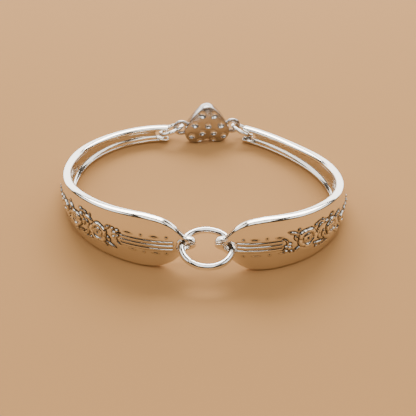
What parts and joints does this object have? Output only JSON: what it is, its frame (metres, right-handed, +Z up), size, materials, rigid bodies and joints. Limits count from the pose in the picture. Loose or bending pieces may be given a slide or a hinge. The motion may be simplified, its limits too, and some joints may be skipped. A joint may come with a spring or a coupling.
{
  "type": "spoon handle bracelet",
  "caption": "Hinged wrist cuff of bent ornamented spoon handles, held by a round wire ring in front and small rings on a puffy heart clasp behind.",
  "frame": {"origin": "middle of the whole bracelet seen from above, on the surface it lies on", "axes": "+Z up out of the surface along the wrist's way through; -Y towards the front ring; +Y towards the heart clasp; +X towards the right handle"},
  "size_m": [0.066, 0.0652, 0.0128],
  "materials": {
    "silver_plate": "polished silver plate, darkened in the recesses",
    "ring_wire": "polished plated wire",
    "cast_clasp": "bright plated casting"
  },
  "bodies": {
    "root": {"handle_left": "silver_plate", "handle_right": "silver_plate", "front_ring": "ring_wire", "jump_ring_left": "ring_wire", "jump_ring_right": "ring_wire", "heart_clasp": "cast_clasp"}
  },
  "joints": []
}
